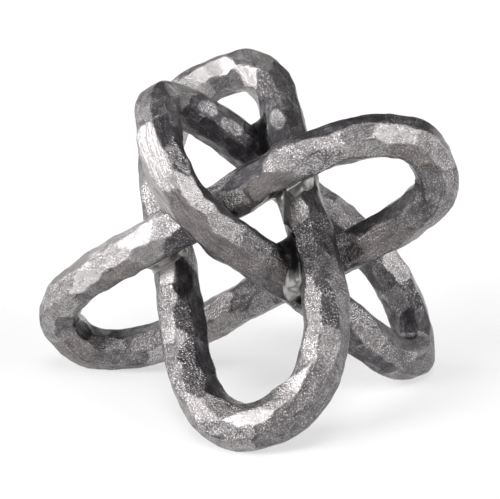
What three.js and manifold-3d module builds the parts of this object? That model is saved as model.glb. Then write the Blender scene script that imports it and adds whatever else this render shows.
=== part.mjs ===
// Metal link sculpture for a table or shelf: three oval links of hammered cast aluminium.
// Each link passes through the next, no two of them are hooked together alone, and the
// three hold each other. They stand on one end each, and weld metal joins them at the six
// places where their bars touch. Two links are closed rings; the third is led through both
// of them and then closed with weld metal of its own.
// Millimetres, +Z up. The origin is on the table, under the middle of the sculpture, and
// the upright link's foot points to -Y.
import * as THREE from 'three';
import { mergeVertices } from 'three/addons/utils/BufferGeometryUtils.js';
import Module from 'manifold-3d';

const wasm = await Module();
wasm.setup();

// The three links
// A link's long axis points along heading (turned from +X towards +Y) and rises from the
// table by rise; roll turns the oval about that axis. Degrees. Squareness is the exponent
// of its oval: 2 is an ellipse. The sways are what is left of the pattern maker's hand:
// pear, lean and corner move the bar inwards and outwards, twist and ripple move it to the
// two sides of the oval, each in a slow wave round the link. footEnd says which of the two
// ends stands on the table. Each of the flats that show from the front is marked by its
// place along the bar, where that is as long as markedLength, by the angle round the bar
// from the outside of the oval, and by its depth.
const ACROSS = {
  middle: [0.11, -1.41, 62.03],
  heading: -11.27,
  rise: 28.82,
  roll: 110.59,
  halfLength: 93.7,
  halfWidth: 26.6,
  squareness: 2.4,
  barRadius: 9.2,
  sway: { pear: [0.2, 0], lean: 0.7, corner: [-1.7, -0.4], twist: [0, -1.2], ripple: [2.1, -1] },
  footEnd: -1,
  seed: 11,
  markedLength: 418,
  flats: [
    [5, 52, 0.6], [20, 52, 0.9], [34, 42, 0.6], [49, 45, 0.8], [66, 48, 0.7], [82, 35, 0.5],
    [12, 92, 0.6], [30, 88, 0.6], [52, 80, 0.8], [76, 80, 0.8], [96, 112, 0.6], [96, 70, 0.6],
    [110, 90, 0.6], [122, 40, 0.8], [137, 32, 0.7], [134, 86, 0.8], [153, 48, 0.9],
    [150, 95, 0.6], [167, 60, 0.8], [168, 105, 0.7], [178, 45, 0.6], [188, 28, 0.6],
    [184, 85, 0.6], [200, 58, 0.7], [199, 108, 0.7], [217, 105, 0.8], [234, 108, 0.7],
    [230, 152, 0.6], [246, 96, 0.6], [251, 134, 0.7], [270, 112, 0.6], [290, 142, 0.8],
    [291, 100, 0.7], [303, 126, 0.6], [312, 105, 0.6], [356, 158, 0.7], [352, 120, 0.7],
    [373, 124, 0.7], [375, 86, 0.7], [393, 112, 0.8], [410, 98, 0.6], [408, 58, 0.6],
  ],
};
const THREADED = {
  middle: [22.18, 5.57, 67.64],
  heading: -168.19,
  rise: 41.74,
  roll: -34.37,
  halfLength: 82,
  halfWidth: 29.1,
  squareness: 2.1,
  barRadius: 9.6,
  sway: { pear: [-1.9, 0], lean: -1.4, corner: [-3.3, -1.9], twist: [-0.8, 0.7], ripple: [1, 0.6] },
  footEnd: -1,
  seed: 23,
  markedLength: 376,
  flats: [
    [20, 18, 1], [42, 12, 0.8], [28, -26, 0.7], [8, 64, 0.7], [22, 78, 0.8], [37, 68, 0.9],
    [56, 68, 0.9], [64, 16, 0.8], [71, 68, 0.7], [83, 48, 0.7], [85, 2, 0.7], [101, 10, 0.6],
    [128, 78, 0.9], [139, 58, 0.8], [153, 52, 0.8], [128, 5, 0.8], [146, 0, 0.7],
    [166, 42, 0.6], [152, 95, 0.6], [178, 108, 0.6], [191, 150, 0.8], [193, 102, 0.7],
    [208, 160, 0.7], [208, 112, 0.8], [224, 165, 0.7], [224, 116, 0.9], [263, 128, 0.8],
    [263, 168, 0.7], [312, 122, 0.6], [326, 118, 0.9], [334, 155, 0.7], [341, 110, 1],
    [352, 142, 0.6], [358, 72, 0.7], [364, 114, 0.8], [372, 58, 0.8], [371, 12, 0.7],
    [0, 96, 0.7],
  ],
};
const UPRIGHT = {
  middle: [-0.67, -0.59, 68.85],
  heading: -82.55,
  rise: -42,
  roll: 28.11,
  halfLength: 91.9,
  halfWidth: 34.4,
  squareness: 2.05,
  barRadius: 9.6,
  sway: { pear: [-0.5, 0.4], lean: 1, corner: [-2.4, -1.3], twist: [-1, -0.2], ripple: [3.2, -1.8] },
  footEnd: 1,
  seed: 37,
  markedLength: 422,
  flats: [
    [227, 105, 0.9], [211, 100, 0.9], [216, 150, 0.7], [215, 48, 0.7], [197, 82, 0.6],
    [186, 126, 0.8], [188, 62, 0.7], [172, 45, 0.9], [168, 100, 0.8], [149, 92, 1],
    [152, 45, 0.9], [156, 142, 0.7], [107, 42, 0.7], [91, 95, 0.9], [92, 45, 0.8],
    [75, 80, 0.8], [62, 106, 0.8], [52, 106, 0.7], [57, 60, 0.9], [66, 34, 0.6],
    [44, 60, 0.9], [40, 103, 0.8], [32, 114, 0.6], [26, 66, 0.9], [22, 100, 0.8],
    [11, 98, 0.7], [0, 85, 0.9], [10, 60, 0.7], [412, 58, 0.8], [26, 18, 0.7], [8, 18, 0.7],
    [410, 16, 0.7], [408, 112, 0.9], [400, 78, 0.9], [387, 102, 0.9], [396, 150, 0.7],
    [380, 64, 0.8], [372, 105, 0.8], [363, 96, 0.6], [357, 72, 0.8], [368, 66, 0.6],
    [353, 112, 0.9], [342, 76, 0.8], [331, 84, 0.6], [336, 132, 0.9], [355, 160, 0.7],
    [375, 152, 0.7], [292, 85, 0.7], [392, 32, 0.6], [4, 124, 0.6], [28, 148, 0.6],
  ],
};
const LINKS = { across: ACROSS, threaded: THREADED, upright: UPRIGHT };

// The six places where two bars touch: side 1 is the bar on the +short-axis side of its
// oval, side -1 the other
const CONTACTS = {
  weld_across_threaded_upper: [['across', 1], ['threaded', 1]],
  weld_across_threaded_lower: [['across', -1], ['threaded', 1]],
  weld_threaded_upright_front: [['threaded', 1], ['upright', 1]],
  weld_threaded_upright_back: [['threaded', -1], ['upright', 1]],
  weld_upright_across_right: [['upright', 1], ['across', 1]],
  weld_upright_across_left: [['upright', -1], ['across', 1]],
};

// Hammered surface: where no flats are marked, lanes of them run along the bar. A flat is
// hollow along the bar by the radius of the hammer's face, and its middle lies below the
// bar's nominal round. Corners between flats stand proud of that round, up to the ridge
// limit. Ridges are joined up from pieces between the shortest and the longest length. The
// spreads, the clear distances and the wander are the unevenness of handwork: spreads and
// clear distances count in flat spacings, and the wander in degrees round the bar.
const LANES = 7;
const FLAT_PITCH = 13;
const FLAT_DEPTH = 0.7;
const FLAT_DEPTH_SPREAD = 0.3;
const HAMMER_FACE_RADIUS = 60;
const RIDGE_LIMIT = 0.6;
const SHORTEST_RIDGE = 0.8;
const LONGEST_RIDGE = 7;
const LANE_WANDER = 10;
const LENGTHWISE_SPREAD = 0.3;
const ROUNDABOUT_SPREAD = 0.15;
const CLEAR_OF_SEATS = 0.4;
const CLEAR_OF_MARKED = 0.8;

// Seats: each bar has a flat where the other one touches it, dressed a little deeper, and
// another one at its foot
const SEAT_FLAT_DEPTH = 0.5;
const SEAT_DRESSING = 0.25;
const SEAT_GAP = 0.3;
const FOOT_FLAT_DEPTH = 0.5;
const FOOT_DRESSING = 0.5;
const DRESSED_SPAN = 26;
const DRESSED_HEIGHT = 3;

// Weld metal: a fillet's waist lies where the wedge between the two bars is as high as its
// own opening says. Its outer face is hollow, and it reaches into the two bars' round, where
// it is cut away. No waist is looked for beyond the widest one. The last two values are the
// place and the width of the weld that closes the threaded link.
const WELD_OPENINGS = {
  weld_across_threaded_upper: 4.4,
  weld_across_threaded_lower: 4.1,
  weld_threaded_upright_front: 5.2,
  weld_threaded_upright_back: 5.4,
  weld_upright_across_right: 4.4,
  weld_upright_across_left: 4.6,
};
const WELD_HOLLOW_RADIUS = 8;
const WELD_WIDEST = 30;
const WELD_ROOT = 1.6;
const WELD_CLEARANCE = 0.3;
const CLOSING_WELD_PLACE = 0.948;
const CLOSING_WELD_WIDTH = 9;

// Fineness of the round weld faces, and how far the drawn skin may stray from the true one
const WELD_SIDES = 20;
const WELD_STEPS = 5;
const SKIN_TOLERANCE = 0.01;

const CAST_ALUMINIUM = { color: 0x98989b, roughness: 0.45, metalness: 1 };
const WELD_ALUMINIUM = { color: 0xb2b3b6, roughness: 0.3, metalness: 1 };

const UP = new THREE.Vector3(0, 0, 1);
const FULL_TURN = 2 * Math.PI;

// Repeatable random numbers from 0 to 1
function randomFrom(seed) {
  let state = seed;
  return () => {
    state = (state * 1664525 + 1013904223) % 4294967296;
    return state / 4294967296;
  };
}

// A difference on a loop of the given period, taken the short way
function shortestWay(difference, period) {
  return difference - period * Math.round(difference / period);
}

// The middle line of a link's bar, in the oval's own axes: x long, y short, z across
class OvalLine extends THREE.Curve {
  constructor(link) {
    super();
    this.link = link;
    this.arcLengthDivisions = 900;
  }

  getPoint(fraction, target = new THREE.Vector3()) {
    const { halfLength, halfWidth, squareness, sway } = this.link;
    const turn = FULL_TURN * fraction;
    const c = Math.cos(turn);
    const s = Math.sin(turn);
    const round = (Math.abs(c) ** squareness + Math.abs(s) ** squareness) ** (1 / squareness);
    const outwards =
      sway.pear[0] * Math.cos(3 * turn) +
      sway.pear[1] * Math.sin(3 * turn) +
      sway.lean * Math.sin(2 * turn) +
      sway.corner[0] * Math.cos(4 * turn) +
      sway.corner[1] * Math.sin(4 * turn);
    const sideways =
      sway.twist[0] * Math.cos(2 * turn) +
      sway.twist[1] * Math.sin(2 * turn) +
      sway.ripple[0] * Math.cos(3 * turn) +
      sway.ripple[1] * Math.sin(3 * turn);
    return target.set(
      halfLength * c / round + outwards * c,
      halfWidth * s / round + outwards * s,
      sideways,
    );
  }
}

// A link's pose: the middle of its oval and the turn from the oval's axes to the part's
function poseOf(link) {
  const heading = THREE.MathUtils.degToRad(link.heading);
  const rise = THREE.MathUtils.degToRad(link.rise);
  const long = new THREE.Vector3(
    Math.cos(rise) * Math.cos(heading),
    Math.cos(rise) * Math.sin(heading),
    Math.sin(rise),
  );
  const short = new THREE.Vector3().crossVectors(UP, long).normalize();
  short.applyAxisAngle(long, THREE.MathUtils.degToRad(link.roll));
  const across = new THREE.Vector3().crossVectors(long, short);
  const axes = new THREE.Matrix4().makeBasis(long, short, across);
  return {
    line: new OvalLine(link),
    middle: new THREE.Vector3(...link.middle),
    turn: new THREE.Quaternion().setFromRotationMatrix(axes),
  };
}

// A point of a posed link's middle line, by its turn round the oval
function pointOn(pose, fraction) {
  return pose.line.getPoint(fraction).applyQuaternion(pose.turn).add(pose.middle);
}

// The places on two stretches where measure is smallest: from a coarse grid, then by ever
// smaller steps
function closestPlaces(measure, [fromA, toA], [fromB, toB]) {
  const tries = 24;
  let best = { a: fromA, b: fromB, distance: Infinity };
  const look = (a, b) => {
    const distance = measure(a, b);
    if (distance >= best.distance) return false;
    best = { a, b, distance };
    return true;
  };
  for (let i = 0; i <= tries; i++) {
    for (let j = 0; j <= tries; j++) {
      look(fromA + (toA - fromA) * i / tries, fromB + (toB - fromB) * j / tries);
    }
  }
  let step = (toA - fromA) / tries;
  while (step > 1e-7) {
    const { a, b } = best;
    const moved = look(a + step, b) || look(a - step, b) || look(a, b + step) || look(a, b - step);
    if (!moved) step /= 2;
  }
  return best;
}

// The half of the oval on one side of its long axis, as turns
function sideSpan(side) {
  return side > 0 ? [0, 0.5] : [0.5, 1];
}

// Where two posed bars come closest: the places, the points and the direction from the
// first bar to the second
function touch(poses, [[nameA, sideA], [nameB, sideB]]) {
  const measure = (a, b) => pointOn(poses[nameA], a).distanceTo(pointOn(poses[nameB], b));
  const { a, b, distance } = closestPlaces(measure, sideSpan(sideA), sideSpan(sideB));
  const pointA = pointOn(poses[nameA], a);
  const pointB = pointOn(poses[nameB], b);
  const normal = pointB.clone().sub(pointA).normalize();
  return {
    distance,
    ends: [
      { name: nameA, place: a, point: pointA, normal },
      { name: nameB, place: b, point: pointB, normal: normal.clone().negate() },
    ],
  };
}

// How far a bar's dressed seat lies from its middle line
function seatHeight(name) {
  return LINKS[name].barRadius - SEAT_FLAT_DEPTH - SEAT_DRESSING;
}

// Lets the links rest on each other: each touching pair in turn is moved and tilted as
// little as it takes for its two seats to lie one seat gap apart
function letTouch(poses) {
  const sweeps = 60;
  const leverArm = 60;
  for (let sweep = 0; sweep < sweeps; sweep++) {
    for (const pair of Object.values(CONTACTS)) {
      const { distance, ends } = touch(poses, pair);
      const wanted = seatHeight(ends[0].name) + seatHeight(ends[1].name) + SEAT_GAP;
      for (const end of ends) {
        const arm = end.point.clone().sub(poses[end.name].middle);
        end.lever = end.normal.clone().cross(arm).divideScalar(leverArm);
      }
      const effect = 2 + ends[0].lever.lengthSq() + ends[1].lever.lengthSq();
      const amount = (wanted - distance) / effect;
      for (const end of ends) {
        const pose = poses[end.name];
        const angle = end.lever.length() * amount / leverArm;
        const tilt = new THREE.Quaternion().setFromAxisAngle(end.lever.normalize(), angle);
        pose.middle.addScaledVector(end.normal, -amount);
        pose.turn.premultiply(tilt);
      }
    }
  }
}

// The place on a posed link's foot end that is nearest to the table, as a turn
function lowestPlace(pose, footEnd) {
  const span = footEnd > 0 ? [-0.25, 0.25] : [0.25, 0.75];
  return closestPlaces((a) => pointOn(pose, a).z, span, [0, 0]).a;
}

// How far a foot's dressed flat lies from its middle line
function footHeight(link) {
  return link.barRadius - FOOT_FLAT_DEPTH - FOOT_DRESSING;
}

// Stands the joined links on their three feet: turned until the dressed feet are level, and
// lowered onto the table
function standOnTable(poses) {
  const rounds = 12;
  for (let round = 0; round < rounds; round++) {
    const feet = Object.entries(LINKS).map(([name, link]) => {
      const foot = pointOn(poses[name], lowestPlace(poses[name], link.footEnd));
      foot.z -= footHeight(link);
      return foot;
    });
    const alongFloor = feet[1].clone().sub(feet[0]);
    const upwards = feet[2].clone().sub(feet[0]).cross(alongFloor).normalize();
    if (upwards.z < 0) upwards.negate();
    const level = new THREE.Quaternion().setFromUnitVectors(upwards, UP);
    const drop = feet[0].clone().applyQuaternion(level).z;
    for (const pose of Object.values(poses)) {
      pose.middle.applyQuaternion(level);
      pose.middle.z -= drop;
      pose.turn.premultiply(level);
    }
  }
}

// The bar's own axes at a share of its length: along it, outwards from the oval, and to the
// side of the oval
function barAxes(pose, along) {
  const share = THREE.MathUtils.euclideanModulo(along, 1);
  const point = pose.line.getPointAt(share).applyQuaternion(pose.turn).add(pose.middle);
  const tangent = pose.line.getTangentAt(share).applyQuaternion(pose.turn);
  const side = new THREE.Vector3(0, 0, 1).applyQuaternion(pose.turn);
  side.addScaledVector(tangent, -side.dot(tangent)).normalize();
  const outward = new THREE.Vector3().crossVectors(tangent, side);
  return { point, tangent, outward, side };
}

// The share of the bar's length that a turn round the oval has passed
function alongFromTurn(line, turn) {
  const lengths = line.getLengths();
  const last = lengths.length - 1;
  const place = THREE.MathUtils.euclideanModulo(turn, 1) * last;
  const index = Math.min(Math.floor(place), last - 1);
  return THREE.MathUtils.lerp(lengths[index], lengths[index + 1], place - index) / lengths[last];
}

// A flat at a given turn round the oval, facing a given way
function flatFacing(pose, turn, direction, depth) {
  const along = alongFromTurn(pose.line, turn);
  const { outward, side } = barAxes(pose, along);
  return { along, around: Math.atan2(direction.dot(side), direction.dot(outward)), depth };
}

// The hammer blows on one link: the flats that its seats and its foot need, the marked ones
// that keep clear of these, then lanes of flats with the unevenness of handwork, which keep
// clear of both
function hammerBlows(link, pose, seatsAndFoot) {
  const random = randomFrom(link.seed);
  const uneven = (amount) => amount * (2 * random() - 1);
  const length = pose.line.getLength();
  const perLane = Math.round(length / FLAT_PITCH);
  const laneAngle = FULL_TURN / LANES;
  const wander = THREE.MathUtils.degToRad(LANE_WANDER);
  const farFrom = (flats, along, around, least) => flats.every((flat) => {
    const lengthwise = shortestWay(along - flat.along, 1) * perLane;
    const roundabout = shortestWay(around - flat.around, FULL_TURN) / laneAngle;
    return Math.hypot(lengthwise, roundabout) > least;
  });
  const blows = [...seatsAndFoot];
  for (const [place, angle, depth] of link.flats) {
    const along = place / link.markedLength;
    const around = THREE.MathUtils.degToRad(angle);
    if (farFrom(seatsAndFoot, along, around, CLEAR_OF_SEATS)) blows.push({ along, around, depth });
  }
  const placed = [...blows];
  for (let lane = 0; lane < LANES; lane++) {
    const start = random();
    for (let i = 0; i < perLane; i++) {
      const step = i + start + uneven(LENGTHWISE_SPREAD);
      const along = THREE.MathUtils.euclideanModulo(step / perLane, 1);
      const sway = wander * Math.sin(2 * FULL_TURN * along + lane);
      const around = laneAngle * (lane + uneven(ROUNDABOUT_SPREAD)) + sway;
      const depth = FLAT_DEPTH + uneven(FLAT_DEPTH_SPREAD);
      if (farFrom(placed, along, around, CLEAR_OF_MARKED)) blows.push({ along, around, depth });
    }
  }
  return blows;
}

// Cuts a convex outline by the line dx x + dy y = limit. Each corner carries the name of the
// edge that follows it.
function clipOutline(outline, dx, dy, limit, edgeName) {
  const kept = [];
  outline.forEach((corner, i) => {
    const following = outline[(i + 1) % outline.length];
    const here = dx * corner.x + dy * corner.y - limit;
    const there = dx * following.x + dy * following.y - limit;
    const share = here / (here - there);
    const x = corner.x + (following.x - corner.x) * share;
    const y = corner.y + (following.y - corner.y) * share;
    if (here <= 0) kept.push(corner);
    if (here <= 0 && there > 0) kept.push({ x, y, edge: edgeName });
    if (here > 0 && there <= 0) kept.push({ x, y, edge: corner.edge });
  });
  return kept;
}

// The place at a share of the way between two others on the rolled-out skin
function between(from, to, share) {
  return {
    along: from.along + shortestWay(to.along - from.along, 1) * share,
    around: from.around + shortestWay(to.around - from.around, FULL_TURN) * share,
    height: from.height + (to.height - from.height) * share,
  };
}

// The flats of a hammered bar meet in ridges. With the bar's skin rolled out and scaled so
// that each blow leaves the same round bowl, a flat is the cell where its own bowl is the
// deepest: an outline cut by one line for each neighbour. Three cells share each corner, and
// two cells the points along a long ridge. A blow that deeper ones wipe out leaves no cell.
function hammeredCells(blows, length, radius) {
  const alongScale = length / Math.sqrt(2 * HAMMER_FACE_RADIUS);
  const aroundScale = Math.sqrt(radius / 2);
  const widest = 2.8;
  const corners = new Map();
  const placeAt = (blow, x, y) => ({
    along: blow.along + x / alongScale,
    around: blow.around + y / aroundScale,
    height: Math.min(x * x + y * y - blow.depth, RIDGE_LIMIT),
  });
  const cells = blows.flatMap((blow, index) => {
    const neighbours = blows.flatMap((other, name) => {
      const dx = shortestWay(other.along - blow.along, 1) * alongScale;
      const dy = shortestWay(other.around - blow.around, FULL_TURN) * aroundScale;
      const near = name !== index && Math.hypot(dx, dy) < 2 * widest;
      return near ? [{ name, dx, dy, limit: (dx * dx + dy * dy + blow.depth - other.depth) / 2 }] : [];
    });
    let outline = [[-1, -1], [1, -1], [1, 1], [-1, 1]].map(([x, y]) => ({
      x: x * widest,
      y: y * widest,
      edge: -1,
    }));
    for (const { name, dx, dy, limit } of neighbours) {
      outline = clipOutline(outline, dx, dy, limit, name);
    }
    if (outline.length < 3) return [];
    const addCorner = (name, x, y) => {
      if (!corners.has(name)) corners.set(name, placeAt(blow, x, y));
      return name;
    };
    const nameOf = (i) => {
      const cellsHere = [index, outline.at(i - 1).edge, outline.at(i).edge];
      return cellsHere.sort((p, q) => p - q).join(' ');
    };
    const names = outline.flatMap((corner, i) => {
      const following = (i + 1) % outline.length;
      const spanX = outline[following].x - corner.x;
      const spanY = outline[following].y - corner.y;
      const reach = Math.hypot(spanX / alongScale * length, spanY / aroundScale * radius);
      const pieces = Math.ceil(reach / LONGEST_RIDGE);
      const ends = [nameOf(i), nameOf(following)];
      const forwards = ends[0] < ends[1];
      const onRidge = [addCorner(ends[0], corner.x, corner.y)];
      for (let k = 1; k < pieces; k++) {
        const name = [...ends].sort().join(' to ') + ' at ' + (forwards ? k : pieces - k);
        onRidge.push(addCorner(name, corner.x + spanX * k / pieces, corner.y + spanY * k / pieces));
      }
      return onRidge;
    });
    const meanX = outline.reduce((sum, corner) => sum + corner.x, 0) / outline.length;
    const meanY = outline.reduce((sum, corner) => sum + corner.y, 0) / outline.length;
    return [{ names, middle: placeAt(blow, meanX, meanY) }];
  });
  return { corners, cells };
}

// A solid from corner points and triangles
function solidFrom(points, triangles) {
  const vertProperties = new Float32Array(points.flatMap((point) => point.toArray()));
  const triVerts = new Uint32Array(triangles.flat());
  return new wasm.Manifold(new wasm.Mesh({ numProp: 3, vertProperties, triVerts }));
}

// A solid from a closed three.js geometry
function solidOf(geometry) {
  const bare = geometry.clone();
  bare.deleteAttribute('normal');
  bare.deleteAttribute('uv');
  const merged = mergeVertices(bare, 1e-4);
  const vertProperties = merged.attributes.position.array;
  const triVerts = new Uint32Array(merged.index.array);
  return new wasm.Manifold(new wasm.Mesh({ numProp: 3, vertProperties, triVerts }));
}

// The whole hammered bar of a link, closed round. Growth moves its skin outwards.
function hammeredBar(link, pose, blows, growth) {
  const length = pose.line.getLength();
  const { corners, cells } = hammeredCells(blows, length, link.barRadius);
  const spots = [...corners.values()];
  const order = new Map([...corners.keys()].map((name, i) => [name, i]));
  const outlines = cells.map(({ names }) => names.map((name) => order.get(name)));
  const merged = mergeShortRidges(spots, outlines, length, link.barRadius);
  const triangles = [];
  cells.forEach(({ middle }, cell) => {
    const outline = merged[cell];
    const centre = spots.push(middle) - 1;
    outline.forEach((corner, i) => {
      triangles.push([centre, corner, outline[(i + 1) % outline.length]]);
    });
  });
  const points = spots.map(({ along, around, height }) => {
    const { point, outward, side } = barAxes(pose, along);
    const radius = link.barRadius + height + growth;
    point.addScaledVector(outward, radius * Math.cos(around));
    return point.addScaledVector(side, radius * Math.sin(around));
  });
  return solidFrom(points, triangles);
}

// Joins the two ends of each ridge that is too short to see, where both of its flats keep
// three corners or more
function mergeShortRidges(spots, outlines, length, radius) {
  const tooShort = (from, to) => {
    const lengthwise = shortestWay(to.along - from.along, 1) * length;
    const roundabout = shortestWay(to.around - from.around, FULL_TURN) * radius;
    return Math.hypot(lengthwise, roundabout, to.height - from.height) < SHORTEST_RIDGE;
  };
  let merged = outlines;
  let found = true;
  while (found) {
    found = false;
    for (const outline of merged) {
      const i = outline.findIndex((corner, k) => {
        const following = outline[(k + 1) % outline.length];
        if (!tooShort(spots[corner], spots[following])) return false;
        const sharing = merged.filter((other) => other.includes(corner) && other.includes(following));
        return sharing.every((other) => other.length > 3);
      });
      if (i < 0) continue;
      const kept = outline[i];
      const dropped = outline[(i + 1) % outline.length];
      spots[kept] = between(spots[kept], spots[dropped], 0.5);
      merged = merged.map((other) => {
        const renamed = other.map((corner) => (corner === dropped ? kept : corner));
        return renamed.filter((corner, k) => corner !== renamed.at(k - 1));
      });
      found = true;
      break;
    }
  }
  return merged;
}

// A flat block on a bar's seat, which dresses the bar down to the seat's plane
function seatBlock({ name, point, normal }, growth) {
  const block = new THREE.BoxGeometry(DRESSED_SPAN, DRESSED_SPAN, DRESSED_HEIGHT);
  block.applyQuaternion(new THREE.Quaternion().setFromUnitVectors(UP, normal));
  const middle = point.clone().addScaledVector(normal, seatHeight(name) + growth + DRESSED_HEIGHT / 2);
  block.translate(...middle);
  return solidOf(block);
}

// A flat block under a link's foot end, which dresses the foot down to the table's plane
function footBlock(pose, link) {
  const foot = pointOn(pose, lowestPlace(pose, link.footEnd));
  const block = new THREE.BoxGeometry(2 * DRESSED_SPAN, 2 * DRESSED_SPAN, DRESSED_HEIGHT);
  block.translate(foot.x, foot.y, -DRESSED_HEIGHT / 2);
  return solidOf(block);
}

// One link, hammered and dressed at its seats and its foot
function dressedLink(name, pose, meetings, growth) {
  const link = LINKS[name];
  const ends = meetings.flatMap((meeting) => meeting.ends).filter((end) => end.name === name);
  const seats = ends.map((end) => flatFacing(pose, end.place, end.normal, SEAT_FLAT_DEPTH));
  const down = UP.clone().negate();
  const foot = flatFacing(pose, lowestPlace(pose, link.footEnd), down, FOOT_FLAT_DEPTH);
  const blows = hammerBlows(link, pose, [...seats, foot]);
  let solid = hammeredBar(link, pose, blows, growth);
  for (const end of ends) solid = solid.subtract(seatBlock(end, growth));
  return solid.subtract(footBlock(pose, link));
}

// A slice across a link's bar at the closing weld, of the given width
function sliceAcross(pose, link, width) {
  const { point, tangent } = barAxes(pose, CLOSING_WELD_PLACE);
  const breadth = 3 * link.barRadius;
  const slice = new THREE.BoxGeometry(breadth, breadth, width);
  slice.applyQuaternion(new THREE.Quaternion().setFromUnitVectors(UP, tangent));
  slice.translate(...point);
  return solidOf(slice);
}

// How far a round bar's skin lies below its seat's plane at a distance to the side
function fallAway(name, sideways) {
  const radius = LINKS[name].barRadius;
  const reach = Math.min(Math.abs(sideways), 0.95 * radius);
  return Math.max(0, seatHeight(name) - Math.sqrt(radius * radius - reach * reach));
}

// The weld fillet between two touching bars: a waisted round body in the wedge between
// them. Its middle follows the saddle that lies halfway between the two round skins, and its
// waist the line where the wedge is high enough; then both bars are cut out of it.
function weldFillet({ ends }, opening, poses, grownLinks) {
  const reach = opening / 2 + WELD_ROOT;
  const up = ends[0].normal;
  const [sideA, sideB] = ends.map(({ name, place }) => {
    const ahead = pointOn(poses[name], place + 1e-4).sub(pointOn(poses[name], place - 1e-4));
    return ahead.cross(up).normalize();
  });
  const seat = ends[0].point.clone().addScaledVector(up, seatHeight(ends[0].name) + SEAT_GAP / 2);
  const across = sideA;
  const ahead = up.clone().cross(across);
  const fallsAt = (spot) => [
    fallAway(ends[0].name, spot.dot(sideA)),
    fallAway(ends[1].name, spot.dot(sideB)),
  ];
  const waistAlong = (direction) => {
    let [near, far] = [0, WELD_WIDEST];
    while (far - near > 0.01) {
      const middle = (near + far) / 2;
      const [fallA, fallB] = fallsAt(direction.clone().multiplyScalar(middle));
      if (fallA + fallB + SEAT_GAP < opening) near = middle;
      else far = middle;
    }
    return near;
  };
  const body = new THREE.CylinderGeometry(1, 1, 2 * reach, WELD_SIDES, WELD_STEPS);
  const position = body.attributes.position;
  for (let i = 0; i < position.count; i++) {
    const spot = new THREE.Vector3()
      .addScaledVector(across, position.getX(i))
      .addScaledVector(ahead, -position.getZ(i));
    const height = position.getY(i);
    const onSide = spot.length() > 0.5;
    const hollow = WELD_HOLLOW_RADIUS - Math.sqrt(WELD_HOLLOW_RADIUS ** 2 - height ** 2);
    if (onSide) spot.setLength(waistAlong(spot.clone().normalize()) + hollow);
    const [fallA, fallB] = fallsAt(spot);
    spot.addScaledVector(up, height + (fallB - fallA) / 2).add(seat);
    position.setXYZ(i, spot.x, spot.y, spot.z);
  }
  const cut = solidOf(body)
    .subtract(grownLinks[ends[0].name])
    .subtract(grownLinks[ends[1].name]);
  return largestBody(cut);
}

// The largest body of a cut, without the crumbs that a grazing cut leaves
function largestBody(solid) {
  return solid.decompose().sort((p, q) => q.volume() - p.volume())[0];
}

// A named mesh that sits at the given place, from a solid in the part's axes
function meshAt(name, solid, place, material) {
  const body = largestBody(solid.simplify(SKIN_TOLERANCE));
  const { numProp, vertProperties, triVerts } = body.getMesh();
  const positions = new Float32Array(vertProperties.length / numProp * 3);
  for (let i = 0; i < positions.length / 3; i++) {
    positions.set(vertProperties.subarray(i * numProp, i * numProp + 3), i * 3);
  }
  const geometry = new THREE.BufferGeometry();
  geometry.setAttribute('position', new THREE.BufferAttribute(positions, 3));
  geometry.setIndex(new THREE.BufferAttribute(triVerts, 1));
  geometry.translate(-place.x, -place.y, -place.z);
  geometry.computeVertexNormals();
  const mesh = new THREE.Mesh(geometry, new THREE.MeshStandardMaterial(material));
  mesh.name = name;
  mesh.position.copy(place);
  return mesh;
}

// The sculpture: posed links, seated on each other and stood on the table
function buildSculpture() {
  const poses = {};
  for (const [name, link] of Object.entries(LINKS)) poses[name] = poseOf(link);
  letTouch(poses);
  standOnTable(poses);
  const meetings = Object.values(CONTACTS).map((pair) => touch(poses, pair));
  const sculpture = new THREE.Group();
  const grownLinks = {};
  for (const [name, pose] of Object.entries(poses)) {
    grownLinks[name] = dressedLink(name, pose, meetings, WELD_CLEARANCE);
    const whole = dressedLink(name, pose, meetings, 0);
    if (name !== 'threaded') {
      sculpture.add(meshAt('link_' + name, whole, pose.middle, CAST_ALUMINIUM));
      continue;
    }
    const mouth = sliceAcross(pose, LINKS[name], CLOSING_WELD_WIDTH + 2 * WELD_CLEARANCE);
    const filling = sliceAcross(pose, LINKS[name], CLOSING_WELD_WIDTH);
    sculpture.add(meshAt('link_' + name, whole.subtract(mouth), pose.middle, CAST_ALUMINIUM));
    sculpture.add(meshAt('closing_weld', whole.intersect(filling), pose.middle, WELD_ALUMINIUM));
  }
  Object.keys(CONTACTS).forEach((name, i) => {
    const fillet = weldFillet(meetings[i], WELD_OPENINGS[name], poses, grownLinks);
    sculpture.add(meshAt(name, fillet, meetings[i].ends[0].point, WELD_ALUMINIUM));
  });
  sculpture.updateMatrixWorld(true);
  const extent = new THREE.Box3().setFromObject(sculpture, true);
  const middle = extent.getCenter(new THREE.Vector3());
  sculpture.position.set(-middle.x, -middle.y, 0);
  return sculpture;
}

export default buildSculpture();
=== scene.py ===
"""Metal link sculpture: three oval links of hammered cast aluminium, dressed for the eye.

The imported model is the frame. Each link is drawn again as a fine skin with the same flats
in the same places, so that ridges can be soft and each flat can have its own finish, and
the weld metal is drawn fused to the bars. Sizes are in millimetres until a mesh is made.
"""

import logging
import math
from collections.abc import Iterator
from dataclasses import dataclass, field
from enum import Enum
from functools import partial

import bpy
import numpy as np
from mathutils import Matrix, Vector, noise


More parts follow.
